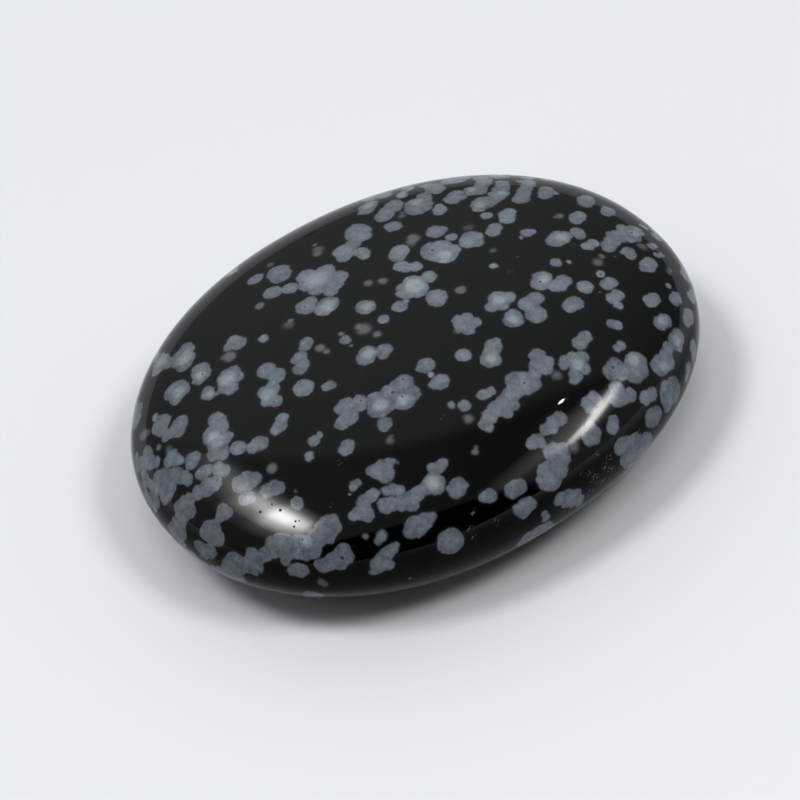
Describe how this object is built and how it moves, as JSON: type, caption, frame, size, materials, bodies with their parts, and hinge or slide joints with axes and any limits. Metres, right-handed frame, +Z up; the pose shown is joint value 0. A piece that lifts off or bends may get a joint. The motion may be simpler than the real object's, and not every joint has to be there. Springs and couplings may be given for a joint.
{
  "type": "snowflake obsidian palm stone",
  "caption": "Oval polished pebble of black volcanic glass with grey snowflake spots; sits in the palm or rests on its flat underside.",
  "frame": {"origin": "middle of the stone's box in plan, on the surface that it rests on", "axes": "+X along its length, +Y across its width, +Z up through its thickness"},
  "size_m": [0.0402, 0.032, 0.0132],
  "materials": {
    "obsidian": "polished"
  },
  "bodies": {
    "root": {"stone": "obsidian"}
  },
  "joints": []
}
